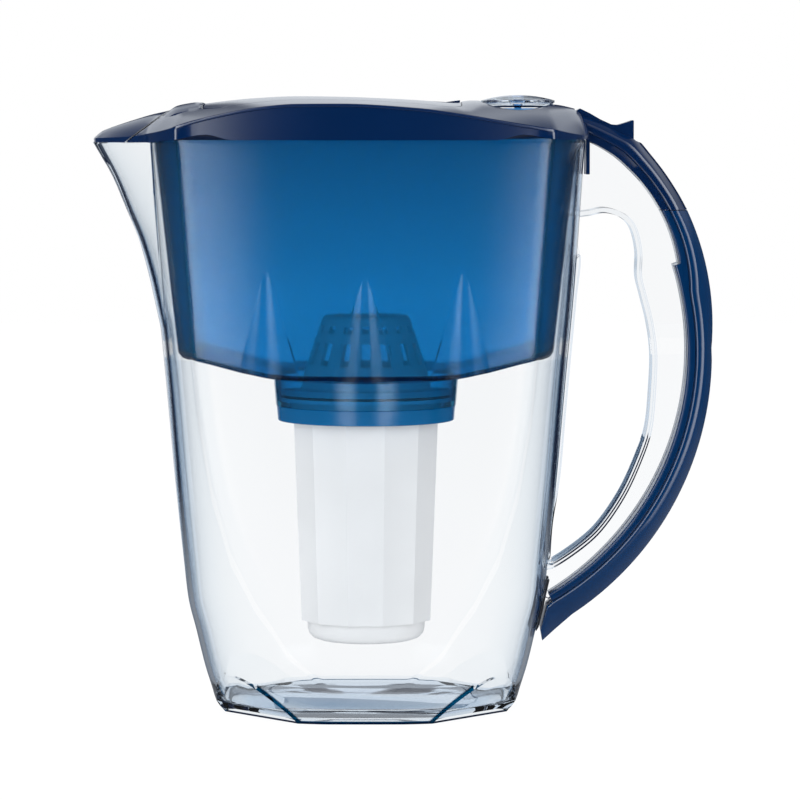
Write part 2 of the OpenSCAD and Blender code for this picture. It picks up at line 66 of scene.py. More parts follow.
def fresh():
    """Out of edit mode with nothing selected."""
    if bpy.context.object and bpy.context.object.mode != "OBJECT":
        bpy.ops.object.mode_set(mode="OBJECT")
    bpy.ops.object.select_all(action="DESELECT")


class Nodes:
    """A node tree that is written one line per node."""

    def __init__(self, tree):
        self.tree = tree
        tree.nodes.clear()

    def add(self, kind, inputs=None, **settings):
        node = self.tree.nodes.new(kind)
        for name, value in settings.items():
            setattr(node, name, value)
        for key, value in (inputs or {}).items():
            socket = node.inputs[key]
            if isinstance(value, bpy.types.NodeSocket):
                self.tree.links.new(value, socket)
            else:
                socket.default_value = value
        return node

    def ramp(self, value, stops):
        node = self.add("ShaderNodeValToRGB", {"Fac": value})
        while len(node.color_ramp.elements) < len(stops):
            node.color_ramp.elements.new(0.5)
        for element, (place, colour) in zip(node.color_ramp.elements, stops):
            element.position = place
            element.color = (*colour, 1)
        return node.outputs["Color"]

    def math(self, operation, a, b):
        return self.add("ShaderNodeMath", {0: a, 1: b}, operation=operation).outputs[0]


def studio(tree, place):
    """The room that shines in gloss, by its turn away from the front.

    A dark card, two soft bright panels, dim sides with a dark card each and the backdrop; a grey ceiling
    hangs over it all.
    """
    at = tree.add("ShaderNodeSeparateXYZ",
        {0: tree.add("ShaderNodeVectorMath", {0: place}, operation="NORMALIZE").outputs[0]}).outputs
    turn = tree.math("ARCTAN2", at["X"], tree.math("MULTIPLY", at["Y"], -1.0))
    turn = tree.math("DIVIDE", tree.math("ABSOLUTE", tree.math("SUBTRACT", turn, 0.014), 0), math.pi)
    dark, panel, side, back = (0.001, 0.002, 0.006), (0.95, 0.98, 1), (0.012, 0.015, 0.02), (0.16, 0.168,
        0.177)
    walls = tree.ramp(turn, [(0.057, dark), (0.1, panel), (0.165, panel), (0.23, side), (0.8, side),
        (0.82, dark), (0.875, dark), (0.89, back), (0.95, back), (0.957, dark), (0.979, dark),
        (0.984, back)])
    high = tree.add("ShaderNodeMapRange", {"Value": at["Z"], "From Min": 0.2, "From Max": 0.45}).outputs[0]
    ceiling = tree.ramp(at["Z"], [(0.46, (0.14, 0.148, 0.156)), (0.66, (0.02, 0.023, 0.028))])
    return tree.add("ShaderNodeMix", {"Factor": high, 6: walls, 7: ceiling}, data_type="RGBA").outputs[2]


def largest(tree, *values):
    """A node for the greatest of the values."""
    out = values[0]
    for value in values[1:]:
        out = tree.math("MAXIMUM", out, value)
    return out


def first_mirrored(tree, path):
    """1 for what a surface mirrors, and 0 once light has been scattered by a dull surface."""
    return tree.math("GREATER_THAN", path["Glossy Depth"],
        tree.math("MULTIPLY", path["Diffuse Depth"], 99.0))


# What is seen straight or through the clear walls is white; what a surface mirrors is the studio.
STUDIO_LIGHT = 5.5
UNDER_GLOSS = (0.05, 0.053, 0.058, 1)
FLOOR_GLOW = 1.045
world = bpy.data.worlds.new("studio")
scene.world = world
world.use_nodes = True
w = Nodes(world.node_tree)
path = w.add("ShaderNodeLightPath").outputs
mirrored = first_mirrored(w, path)
room = w.add("ShaderNodeBackground",
    {"Color": studio(w, w.add("ShaderNodeTexCoord").outputs["Generated"]), "Strength": STUDIO_LIGHT})
plain = w.add("ShaderNodeBackground", {"Color": (0.96, 0.98, 1, 1), "Strength": 0.62})
white = w.add("ShaderNodeBackground", {"Color": (1, 1, 1, 1), "Strength": 1})
seen = largest(w, path["Is Camera Ray"], path["Is Transmission Ray"], path["Is Glossy Ray"])
shown = w.add("ShaderNodeMixShader", {0: mirrored, 1: white.outputs[0], 2: room.outputs[0]})
w.add("ShaderNodeOutputWorld",
    {0: w.add("ShaderNodeMixShader", {0: seen, 1: plain.outputs[0], 2: shown.outputs[0]}).outputs[0]})


def softbox(name, place, aim, size, power):
    """A lamp that lights the object; what shines in its gloss is the studio of the world."""
    bpy.ops.object.light_add(type="AREA", location=place)
    lamp = bpy.context.object
    lamp.visible_glossy = False
    lamp.visible_transmission = False
    lamp.name = name
    lamp.data.shape = "RECTANGLE"
    lamp.data.size, lamp.data.size_y = size
    lamp.data.energy = power
    lamp.rotation_euler = (Vector(aim) - Vector(place)).to_track_quat("-Z", "Y").to_euler()


CENTRE = (0.01, 0, 0.13)
softbox("left_front_box", (-0.5, -1.4, 0.3), CENTRE, (0.42, 1.1), 5.5)
softbox("right_front_box", (0.56, -1.4, 0.3), CENTRE, (0.42, 1.1), 4.5)
softbox("left_box", (-1.3, -0.3, 0.4), CENTRE, (0.4, 1.2), 4)
softbox("right_box", (1.4, -0.2, 0.4), CENTRE, (0.4, 1.2), 4)
softbox("top_box", (0.0, 0.1, 1.5), CENTRE, (1.2, 0.8), 6)

bpy.ops.mesh.primitive_plane_add(size=6, location=(0, 0, -0.0006))
floor = bpy.context.object
floor.name = "floor"
paint = bpy.data.materials.new("pale_floor")
paint.use_nodes = True
f = Nodes(paint.node_tree)
path = f.add("ShaderNodeLightPath").outputs
shade = f.add("ShaderNodeBsdfDiffuse", {"Color": (0.9, 0.9, 0.9, 1)})
glow = f.add("ShaderNodeEmission", {"Color": (1, 1, 1, 1), "Strength": FLOOR_GLOW})
both = f.add("ShaderNodeMixShader", {0: 0.92, 1: shade.outputs[0], 2: glow.outputs[0]})
place = f.add("ShaderNodeTexCoord").outputs["Object"]
away = f.add("ShaderNodeVectorMath", {0: place}, operation="LENGTH").outputs["Value"]
far = f.add("ShaderNodeMapRange", {"Value": away, "From Min": 0.3, "From Max": 0.75}).outputs[0]
under = f.add("ShaderNodeMix", {"Factor": far, 6: UNDER_GLOSS, 7: studio(f, place)},
    data_type="RGBA").outputs[2]
room = f.add("ShaderNodeEmission", {"Color": under, "Strength": STUDIO_LIGHT})
mirrored = first_mirrored(f, path)
shown = f.add("ShaderNodeMixShader", {0: mirrored, 1: both.outputs[0], 2: room.outputs[0]})
seen = largest(f, path["Is Camera Ray"], path["Is Transmission Ray"], path["Is Glossy Ray"])
f.add("ShaderNodeOutputMaterial",
    {0: f.add("ShaderNodeMixShader", {0: seen, 1: shade.outputs[0], 2: shown.outputs[0]}).outputs[0]})
floor.data.materials.append(paint)

# ---- materials ------------------------------------------------------------------------------


def plastic(name, colour, roughness=0.3, grain=0.02, clear=0.0, ior=1.49, **sockets):
    """Moulded plastic: its colour drifts a little, its gloss varies and it has a fine grain."""
    material = bpy.data.materials.new(name)
    material.use_nodes = True
    m = Nodes(material.node_tree)
    place = m.add("ShaderNodeTexCoord").outputs["Object"]
    cloud = m.add("ShaderNodeTexNoise", {"Vector": place, "Scale": 28.0, "Detail": 3.0}).outputs["Fac"]
    speck = m.add("ShaderNodeTexNoise", {"Vector": place, "Scale": 2400.0, "Detail": 2.0}).outputs["Fac"]
    deep = tuple(0.93 * c for c in colour[:3])
    tint = m.ramp(cloud, [(0.3, deep), (0.7, colour[:3])])
    gloss = m.add("ShaderNodeMapRange",
        {"Value": cloud, "To Min": roughness * 0.9, "To Max": roughness * 1.12})
    bump = m.add("ShaderNodeBump", {"Height": speck, "Strength": grain, "Distance": 0.0002})
    shader = m.add(
        "ShaderNodeBsdfPrincipled",
        {"Base Color": tint, "Roughness": gloss.outputs[0], "Normal": bump.outputs[0], "IOR": ior,
        "Transmission Weight": clear},
    )
    for key, value in sockets.items():
        shader.inputs[key.replace("_", " ")].default_value = value
    m.add("ShaderNodeOutputMaterial", {"Surface": shader.outputs[0]})
    return material


def let_lamps_in(m, shader, colour):
    """The shader, with lamps shining through it in a colour, as they do through real clear plastic."""
    shadow = m.add("ShaderNodeLightPath").outputs["Is Shadow Ray"]
    through = m.add("ShaderNodeBsdfTransparent", {"Color": (*colour, 1)})
    return m.add("ShaderNodeMixShader", {0: shadow, 1: shader.outputs[0], 2: through.outputs[0]}).outputs[0]


# Painted shade lines and a painted highlight line of the clear jug and the blue hopper, in metres.
PAINTED_SHADE_LINE = (0.0, 0.006, 0.03, 1)
CUT_LINE = 0.0014
CUT_LINE_CORE = 0.001
FACET_LIKE = 0.86
LEVEL = 0.8
# Half widths and lowest height of the white highlight painted along the front panel's rim.
RIM_HIGHLIGHT_WIDTHS = (0.0007, 0.0035)
RIM_HIGHLIGHT_LOW = 0.0125
HEM_SHADE_LINE = (0.1505, 0.1511, 0.1538, 0.1545)


def clear_plastic(name, stops, roughness=0.0, ior=1.2, absorb=(0.62, 0.7, 0.78), density=14.0,
        lamps=(0.93, 0.95, 0.97), shaded_brim=-1.0, cuts=None):
    """Clear moulded plastic, bluer where it is thick and seen edge on, with painted shade at its grazing edges.

    Below the brim height its colour is a painted dark shade line, as along a foot's edge. cuts holds a
    slanted facet's normal, its distance from the origin and the (height, half width) pairs of a panel's rim:
    along the facet's edge it paints a dark shade line, along the rim a white highlight.
    """
    material = bpy.data.materials.new(name)
    material.use_nodes = True
    m = Nodes(material.node_tree)
    facing = m.add("ShaderNodeLayerWeight", {"Blend": 0.5}).outputs["Facing"]
    # The stops deepen the blue edge on; their dark end is painted shade at the grazing edges.
    tint = m.ramp(facing, stops)
    place = m.add("ShaderNodeVectorMath", {0: m.add("ShaderNodeTexCoord").outputs["Object"]},
        operation="ABSOLUTE").outputs[0]
    height = m.add("ShaderNodeSeparateXYZ", {0: place}).outputs["Z"]
    # Painted shade: a dark line below the brim height.
    line = m.add("ShaderNodeMapRange",
        {"Value": height, "From Min": shaded_brim + 0.0002, "From Max": shaded_brim}).outputs[0]
    # Painted shade along the foot facets' edges, and a painted white highlight along the panel's rim.
    if cuts:
        facet, reach, rim = cuts
        normal = m.add("ShaderNodeVectorMath", {0: m.add("ShaderNodeNewGeometry").outputs["Normal"]},
            operation="ABSOLUTE").outputs[0]
        over = m.add("ShaderNodeVectorMath", {0: place, 1: facet}, operation="DOT_PRODUCT").outputs["Value"]
        near = m.add("ShaderNodeMapRange",
            {"Value": over, "From Min": reach - CUT_LINE, "From Max": reach - CUT_LINE_CORE}).outputs[0]
        like = m.add("ShaderNodeVectorMath", {0: normal, 1: tuple(abs(v) for v in facet)},
            operation="DOT_PRODUCT").outputs["Value"]
        beside = m.math("LESS_THAN", like, FACET_LIKE)
        upright = m.math("LESS_THAN", m.add("ShaderNodeSeparateXYZ", {0: normal}).outputs["Z"], LEVEL)
        true_place = m.add("ShaderNodeSeparateXYZ",
            {0: m.add("ShaderNodeTexCoord").outputs["Object"]}).outputs
        front = m.math("LESS_THAN", true_place["Y"], 0.0)
        line = m.math("MULTIPLY",
            largest(m, line, m.math("MULTIPLY", m.math("MULTIPLY", near, beside), front)), upright)
        # Painted highlight: white along the front panel's rim line, where the crease would catch the light.
        half = m.add("ShaderNodeSeparateXYZ", {0: place}).outputs["X"]
        crest = m.math("MULTIPLY",
            m.ramp(m.math("MULTIPLY", half, 10.0), [(x / 100, (z / 200,) * 3) for z, x in rim]), 0.2)
        off = m.math("ABSOLUTE", m.math("SUBTRACT", height, crest), 0)
        steep = m.add("ShaderNodeMapRange",
            {"Value": half, "From Min": 0.017, "From Max": 0.07, "To Min": RIM_HIGHLIGHT_WIDTHS[0],
            "To Max": RIM_HIGHLIGHT_WIDTHS[1]}).outputs[0]
        painted_highlight = m.math("MULTIPLY", m.math("LESS_THAN", off, steep), front)
        painted_highlight = m.math("MULTIPLY", painted_highlight, m.math("GREATER_THAN", height, RIM_HIGHLIGHT_LOW))
        tint = m.add("ShaderNodeMix", {"Factor": painted_highlight, 6: tint, 7: (1.0, 1.0, 1.0, 1)},
            data_type="RGBA").outputs[2]
    # The painted shade lines take the dark colour.
    tint = m.add("ShaderNodeMix", {"Factor": line, 6: tint, 7: PAINTED_SHADE_LINE}, data_type="RGBA").outputs[2]
    shader = m.add(
        "ShaderNodeBsdfPrincipled",
        {"Base Color": tint, "Roughness": roughness, "IOR": ior, "Transmission Weight": 1.0,
        "Specular Tint": (0.4, 0.4, 0.4, 1)},
    )
    inside = m.add("ShaderNodeVolumeAbsorption", {"Color": (*absorb, 1), "Density": density})
    m.add("ShaderNodeOutputMaterial",
        {"Surface": let_lamps_in(m, shader, lamps), "Volume": inside.outputs[0]})
    return material


def tinted_plastic(name, face, edge, fade, hem, roughness=0.1, ior=1.38, clear=0.95):
    """See-through coloured plastic, deeper towards the top and where it is seen edge on, with painted shade at
    the grazing edges, in a band under its top edge and in a line along its hem.

    fade holds the heights between which it deepens, hem the (half width, dip) pairs of the lower edge that the
    painted shade line follows.
    """
    material = bpy.data.materials.new(name)
    material.use_nodes = True
    m = Nodes(material.node_tree)
    place = m.add("ShaderNodeTexCoord").outputs["Object"]
    cloud = m.add("ShaderNodeTexNoise", {"Vector": place, "Scale": 40.0, "Detail": 2.0}).outputs["Fac"]
    facing = m.add("ShaderNodeLayerWeight", {"Blend": 0.5}).outputs["Facing"]
    # Edge on it deepens to the edge colour: partly the longer path through the wall, partly painted shade.
    tint = m.ramp(facing,
        [(0.3, face), (0.7, tuple(0.6 * a + 0.4 * b for a, b in zip(face, edge))), (0.95, edge)])
    height = m.add("ShaderNodeSeparateXYZ", {0: place}).outputs["Z"]
    rise = m.add("ShaderNodeMapRange",
        {"Value": height, "From Min": fade[0], "From Max": fade[1], "To Min": 0.0, "To Max": 0.4})
    # Painted shade: a band under the top edge, where the lid's hem hangs over, takes the full edge colour.
    shaded_brim = m.add("ShaderNodeMapRange",
        {"Value": height, "From Min": fade[1] - 0.006, "From Max": fade[1] - 0.003})
    across = m.math("MULTIPLY",
        m.math("ABSOLUTE", m.add("ShaderNodeSeparateXYZ", {0: place}).outputs["X"], 0), 10.0)
    # Painted shade: a dark line that follows the lower edge's dip.
    dip = m.ramp(across, [(x / 100, (d / 10,) * 3) for x, d in hem])
    over = m.math("ADD", height, m.math("MULTIPLY", dip, 0.01))
    top = m.add("ShaderNodeMapRange",
        {"Value": over, "From Min": HEM_SHADE_LINE[3], "From Max": HEM_SHADE_LINE[2]}).outputs[0]
    foot = m.add("ShaderNodeMapRange",
        {"Value": over, "From Min": HEM_SHADE_LINE[0], "From Max": HEM_SHADE_LINE[1]}).outputs[0]
    # Deepening towards the top, with painted shade in the top band and along the hem.
    deeper = largest(m, rise.outputs[0], shaded_brim.outputs[0], m.math("MULTIPLY", top, foot))
    deep = m.add("ShaderNodeMix", {"Factor": deeper, 6: tint, 7: (*edge, 1)}, data_type="RGBA").outputs[2]
    gloss = m.add("ShaderNodeMapRange",
        {"Value": cloud, "To Min": roughness * 0.9, "To Max": roughness * 1.12})
    shader = m.add(
        "ShaderNodeBsdfPrincipled",
        {"Base Color": deep, "Roughness": gloss.outputs[0], "IOR": ior, "Transmission Weight": clear},
    )
    m.add("ShaderNodeOutputMaterial", {"Surface": let_lamps_in(m, shader, (0.5, 0.76, 0.9))})
    return material


# By facing: pale blues that deepen edge on, then dark blues at the grazing end that are painted shade.
CLEAR_STOPS = [(0.0, (0.965, 0.97, 0.975)), (0.2, (0.94, 0.955, 0.965)), (0.42, (0.9, 0.928, 0.95)),
    (0.62, (0.85, 0.89, 0.925)),
    (0.78, (0.68, 0.76, 0.85)), (0.86, (0.25, 0.38, 0.56)), (0.93, (0.03, 0.12, 0.3))]
# Painted shade: the dark blue that the jug's bevelled creases take, standing for the lines of shade along them.
SHADED_EDGE_STOPS = [(0.0, (0.005, 0.07, 0.22)), (0.8, (0.0, 0.03, 0.13)), (0.95, (0.0, 0.015, 0.08))]
FOOT_CUT = Vector((0.59, 0.58, -0.55)).normalized()
FOOT_CUT_AT = 44.8
# Heights and half widths of the front panel's rim, along which a white highlight is painted.
PANEL_RIM_HIGHLIGHT = [(13, 0), (14.5, 10), (17, 18), (28, 31.5), (39, 38.5), (49, 45.6), (69, 55.7), (96, 63.4),
    (127, 68.6), (155, 71.5)]
# The jug's plastic, with painted shade along its foot's lower edge and its facets' edges and a painted highlight
# on its rim.
CLEAR = clear_plastic("clear_jug", CLEAR_STOPS, shaded_brim=0.0009,
    cuts=(tuple(FOOT_CUT), FOOT_CUT_AT * MM, PANEL_RIM_HIGHLIGHT))
# The finish of the bevelled creases, painted dark as shade.
CLEAR_SHADED_EDGE = clear_plastic("clear_jug_painted_shade_edge", SHADED_EDGE_STOPS, roughness=0.1, ior=1.1)
NAVY = plastic("navy_lid", (0.0, 0.014, 0.066), roughness=0.13, grain=0.01, ior=1.65)
GRIP = plastic("blue_grip", (0.0, 0.028, 0.105), roughness=0.12, grain=0.01, ior=1.5)
HOPPER_DIP = [(0, 9.5), (28, 9.2), (41, 8.4), (57, 4.6), (70, 1.4), (80, 0)]
# The hopper's face colour and its edge colour; the edge colour is painted shade at the grazing edges, top band
# and hem.
HOPPER = tinted_plastic("hopper_blue", (0.06, 0.41, 0.69), (0.0, 0.04, 0.13), (0.175, 0.2475), HOPPER_DIP)
COLLAR = plastic("collar_blue", (0.0, 0.17, 0.44), roughness=0.2, clear=0.3)
WHITE = plastic("white_plastic", (0.93, 0.935, 0.94), roughness=0.3)
CAP = plastic("white_cap", (0.97, 0.98, 0.99), roughness=0.55, clear=0.5)
BLACK = plastic("dark_catch", (0.003, 0.004, 0.01), roughness=0.3)
SEAL = plastic("seal_rubber", (0.03, 0.032, 0.036), roughness=0.6)
SCREEN = plastic("screen", (0.6, 0.62, 0.64), roughness=0.7)
BED = plastic("filter_bed", (0.02, 0.018, 0.016), roughness=0.8, grain=0.4)
# The dial's clear dome, painted dark at its grazing edges and with a painted shade line below its brim height.
DOME = clear_plastic("clear_dome",
    [(0.0, (0.98, 0.99, 1.0)), (0.7, (0.85, 0.92, 0.98)), (0.95, (0.05, 0.15, 0.35))], ior=1.3, density=10,
    shaded_brim=0.2569)
DIAL = plastic("dial_blue", (0.06, 0.3, 0.68), roughness=0.25)
STEEL = plastic("steel", (0.6, 0.61, 0.63), roughness=0.3, Metallic=1.0)

FINISH = {
    "handle_cover": GRIP, "handle_liner": GRIP, "handle_catch": BLACK, "funnel": HOPPER,
    "neck_ring": COLLAR,
    "cartridge_can": WHITE, "cartridge_base": WHITE, "cartridge_cap": CAP, "cartridge_seal": SEAL,
    "outlet_mesh": SCREEN, "inlet_mesh": SCREEN, "filter_media": BED, "lid_frame": NAVY, "flip_lid": NAVY,
    "flip_lid_pin": STEEL, "spout_flap": NAVY, "spout_flap_pin": STEEL, "dial_dome": DOME,
    "dial_disc": DIAL,
    "dial_pin": DIAL, "thumb_slide": NAVY, "slide_spring": STEEL, "jug_body": CLEAR,
}
for name, finish in FINISH.items():
    piece = nodes[name]
    piece.data.materials.clear()
    piece.data.materials.append(finish)

# ---- shaping tools --------------------------------------------------------------------------


def along(table, x):
    """The height at x of a smooth curve through the table's points, with no overshoot between them."""
    if x <= table[0][0]:
        return table[0][1]
    if x >= table[-1][0]:
        return table[-1][1]
    k = max(i for i in range(len(table) - 1) if table[i][0] <= x)

    def rise(i):
        return (table[i + 1][1] - table[i][1]) / (table[i + 1][0] - table[i][0])

    def slope(i):
        if i in (0, len(table) - 1):
            return rise(min(i, len(table) - 2))
        before, after = rise(i - 1), rise(i)
        return 0 if before * after <= 0 else 2 * before * after / (before + after)

    (x0, y0), (x1, y1) = table[k], table[k + 1]
    h = x1 - x0
    t = (x - x0) / h
    a, b = slope(k) * h, slope(k + 1) * h
    return y0 + t * (a + t * (3 * (y1 - y0) - 2 * a - b + t * (a + b - 2 * (y1 - y0))))


CREASE = 1.8


def quarter(a, w, p, ends, panel, n=2.6, c=0.0006):
    """A quarter of a section: a rounded end from (a, 0), a soft crease, then a bowed panel to (0, p)."""
    yc = p - c * w * w
    turn = math.acos((w / a) ** (n / 2))
    b = yc / math.sin(turn) ** (2 / n)

    def on_end(t):
        return Vector((a * math.cos(t) ** (2 / n), b * math.sin(t) ** (2 / n)))

    corner = on_end(turn)
    low, stop = 0.0, turn
    for _ in range(14):
        middle = (low + stop) / 2
        low, stop = (middle, stop) if (on_end(middle) - corner).length > CREASE else (low, middle)
    end = [on_end(low * k / ends) for k in range(ends)]
    x = w - CREASE
    front = [Vector((x * (1 - k / panel), p - c * (x * (1 - k / panel)) ** 2)) for k in range(panel + 1)]
    start = on_end(low)
    bend = [start * (1 - u) ** 2 + corner * 2 * u * (1 - u) + front[0] * u * u for u in (0, 0.2, 0.4, 0.6,
        0.8)]
    return [tuple(v) for v in end + bend + front]


def section(a, w, p, beak=0.0, half=30.0, ends=30, panel=18):
    """A closed section, anticlockwise from +X, with a beak at -X."""
    q = quarter(a, w, p, ends, panel)
    side = q + [(-x, y) for x, y in q[-2::-1]]
    side = [(x - beak * (1 - (abs(y) / half) ** 1.5) if x < 0 and abs(y) < half else x, y) for x, y in side]
    return side + [(x, -y) for x, y in side[-2:0:-1]]


def lofted(name, rings):
    """A closed solid through rings of points, lowest first: a grid sheet rolled up and capped."""
    fresh()
    n, m = len(rings[0]), len(rings)
    bpy.ops.mesh.primitive_grid_add(x_subdivisions=n, y_subdivisions=m - 1, size=2)
    piece = bpy.context.object
    piece.name = name
    for v in piece.data.vertices:
        i = round((v.co.x + 1) / 2 * n) % n
        j = round((v.co.y + 1) / 2 * (m - 1))
        v.co = rings[j][i]
    bpy.ops.object.mode_set(mode="EDIT")
    bpy.ops.mesh.select_all(action="SELECT")
    bpy.ops.mesh.remove_doubles(threshold=1e-4)
    bpy.ops.mesh.select_all(action="SELECT")
    bpy.ops.mesh.fill_holes(sides=0)
    bpy.ops.mesh.select_all(action="SELECT")
    bpy.ops.mesh.normals_make_consistent(inside=False)
    bpy.ops.object.mode_set(mode="OBJECT")
    return piece


def plate(name, outline, half):
    """A flat plate in the XZ plane, half its thickness to each side of y = 0."""
    return lofted(name, [[(x, y, z) for x, z in outline] for y in (half, -half)])


def merge(piece, other, operation):
    """Joins another solid to piece, or cuts it out, and takes the other away."""
    fresh()
    piece.select_set(True)
    bpy.context.view_layer.objects.active = piece
    step = piece.modifiers.new(operation, "BOOLEAN")
    step.operation = operation
    step.solver = "MANIFOLD"
    step.object = other
    bpy.ops.object.modifier_apply(modifier=step.name)
    bpy.data.objects.remove(other)
    return piece


def done(piece, body, finish, stands_for=(), crease=30.0, bevel=0.0, edge=None):
    """To metres, smooth but for its creases, with its finish, on its body.

    Bevelled creases may take a finish of their own, edge.
    """
    fresh()
    piece.select_set(True)
    bpy.context.view_layer.objects.active = piece
    piece.data.materials.clear()
    piece.data.materials.append(finish)
    if edge:
        piece.data.materials.append(edge)
    if bevel:
        step = piece.modifiers.new("soft_edge", "BEVEL")
        step.width = bevel
        step.segments = 2
        step.limit_method = "ANGLE"
        step.angle_limit = math.radians(crease)
        step.material = 1 if edge else -1
        bpy.ops.object.modifier_apply(modifier=step.name)
    piece.scale = (MM, MM, MM)
    bpy.ops.object.transform_apply(location=True, rotation=True, scale=True)
    bpy.ops.object.shade_smooth_by_angle(angle=math.radians(crease))
    piece.data.validate()
    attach(piece, body)
    if stands_for:
        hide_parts(*stands_for)
    return piece


# ---- the jug --------------------------------------------------------------------------------

RIM = 241.5
WALL = 2.2
FLOOR = 5.0
SPOUT_REACH = 23.2
SPOUT_HALF = 30.0
SPOUT_LOW = 163
JUG_HALF_DEPTH = 50.5
JUG_FLARE = 6.5
JUG_LENGTH = [(0, 61), (4, 64.3), (10, 66.2), (19, 69), (34, 72.6), (48, 76), (64, 77.8),
    (97, 81.2), (140, 84.9), (182, 88.7), (227, 91.8), (RIM, 92.8)]
JUG_PANEL = [(0, 16), (13, 17), (17, 19), (28, 31.5), (39, 38.5), (49, 45.6), (69, 55.7),
    (96, 63.4), (127, 68.6), (155, 71.5), (RIM, 77.9)]
SPOUT = [(SPOUT_LOW, 0), (175, 0.08), (183, 0.13), (200, 0.28), (213, 0.47), (227, 0.69), (RIM, 1)]


def jug_ring(z, t, at):
    """The jug's outline at height z, t inside its outer wall, laid at height at."""
    share = along(SPOUT, z) if z > SPOUT_LOW else 0
    depth = JUG_HALF_DEPTH + JUG_FLARE * z / RIM
    return [(x, y, at) for x, y in section(
        along(JUG_LENGTH, z) - t, along(JUG_PANEL, z) - t / 2, depth - t,
        share * (SPOUT_REACH - 0.5 * t), SPOUT_HALF - t)]


def foot_cuts(piece, t):
    """Takes the four slanted cuts between the feet off a solid, t further in."""
    for sx in (1, -1):
        for sy in (1, -1):
            normal = Vector((FOOT_CUT.x * sx, FOOT_CUT.y * sy, FOOT_CUT.z))
            fresh()
            piece.select_set(True)
            bpy.context.view_layer.objects.active = piece
            bpy.ops.object.mode_set(mode="EDIT")
            bpy.ops.mesh.select_all(action="SELECT")
            bpy.ops.mesh.bisect(plane_co=normal * (FOOT_CUT_AT - t), plane_no=normal, use_fill=True,
                clear_outer=True)
            bpy.ops.object.mode_set(mode="OBJECT")
    return piece


def arc(centre, radius, start, end, steps):
    """Points on an arc in the XZ plane, angles in degrees."""
    return [(centre[0] + radius * math.cos(math.radians(start + (end - start) * k / steps)),
             centre[1] + radius * math.sin(math.radians(start + (end - start) * k / steps)))
             for k in range(steps + 1)]


GRIP_IN = ((15.7, 152.6), 120.7)
GRIP_IN_TOP = ((63.5, 178.9), 70.2)
GRIP_OUT = ((14.3, 150.5), 132.9)
GRIP_OUT_TOP = ((33, 163.7), 114.4)
BEND = 190.0


def on_arc(circle, z, t=0.0):
    """X of the point at height z on the handle side of a circle that is t larger."""
    (cx, cz), r = circle
    return cx + math.sqrt((r + t) ** 2 - (z - cz) ** 2)


def grip_inner(z, t=0.0):
    """X of the grip's inner line at height z, t further out."""
    return on_arc(GRIP_IN if z < BEND else GRIP_IN_TOP, z, t)


FINGERS = [(88, 209.4), (95, 210.6), (101.4, 211.7), (108.2, 209.6), (112.5, 204.9), (114.8, 195.5),
    (114.8, 185), (116.7, 176.8), (119.6, 165.3), (121.4, 152.1), (121, 136.7), (119.4, 120),
    (115, 106.5), (108.2, 91.8), (98.7, 77.9), (89, 69.2), (78, 62.2)]


def rounded(points, steps=6):
    """A closed smooth curve through the points."""
    n = len(points)
    out = []
    for i in range(n):
        p = [Vector(points[(i + k) % n]) for k in (-1, 0, 1, 2)]
        for k in range(steps):
            t = k / steps
            out.append(tuple(0.5 * (2 * p[1] + (p[2] - p[0]) * t + (2 * p[0] - 5 * p[1] + 4 * p[2] - p[3]) * t * t
                + (3 * p[1] - p[0] - 3 * p[2] + p[3]) * t ** 3)))
    return out


def wall_x(z, t):
    """X of the jug's wall on the handle side."""
    return along(JUG_LENGTH, z) - t


def finger_outline(grow):
    """The finger opening's outline, grown outwards; its straight side follows the jug's wall."""
    smooth = rounded([(84.5, 207)] + FINGERS + [(78.6, 66), (79.6, 80)] + [(wall_x(z, -1.2), z)
        for z in (100, 125, 150, 175, 195)])
    if not grow:
        return smooth
    middle = Vector((100, 140))
    out = []
    for i, point in enumerate(smooth):
        run = Vector(smooth[(i + 1) % len(smooth)]) - Vector(smooth[i - 1])
        side = Vector((run.y, -run.x)).normalized()
        if side.dot(Vector(point) - middle) < 0:
            side = -side
        out.append((point[0] + side.x * grow, point[1] + side.y * grow))
    return out


levels = [0, 0.6, 1.4, 2.4, 4] + [4 + 2.5 * k for k in range(1, 95)] + [RIM]
jug = foot_cuts(lofted("jug_shell", [jug_ring(z, 0, z) for z in levels]), 0)
web_edge = [(grip_inner(z, 2.4), z) for z in [46.5, 48.5, 51] + [54 + 4 * k for k in range(34)] + [190, 200,
    210, 220, 230, 236, 241.2]]
web = plate("web", web_edge + [(wall_x(z, 1), z) for z in range(240, 40, -12)], 3)
merge(web, plate("fingers", finger_outline(0), 4), "DIFFERENCE")
band = plate("band", finger_outline(2.2), 10)
merge(band, plate("fingers", finger_outline(0), 11), "DIFFERENCE")
merge(band, lofted("wall_side", [jug_ring(z, 1, z) for z in levels]), "DIFFERENCE")
merge(jug, web, "UNION")
merge(jug, band, "UNION")
hollow = lofted("hollow", [jug_ring(FLOOR - 5, WALL + 4, FLOOR), jug_ring(FLOOR, WALL + 1.6, FLOOR + 1),
    jug_ring(FLOOR, WALL + 0.4, FLOOR + 3)] + [jug_ring(z, WALL, z) for z in levels
    if z > FLOOR + 5] + [jug_ring(RIM, WALL, RIM + 4)])
foot_cuts(hollow, WALL)
merge(jug, hollow, "DIFFERENCE")
recess = lofted("recess",
    [jug_ring(0, WALL + 0.4, -1), jug_ring(1, WALL + 0.4, 1), jug_ring(1, WALL + 1, 1.7),
    jug_ring(1, WALL + 2.5, 2.2)])
merge(jug, foot_cuts(recess, WALL), "DIFFERENCE")
# Its bevelled creases take the painted shade finish.
done(jug, "pitcher", CLEAR, ("jug_body",), crease=24, bevel=0.6, edge=CLEAR_SHADED_EDGE)

# ---- the hopper -----------------------------------------------------------------------------

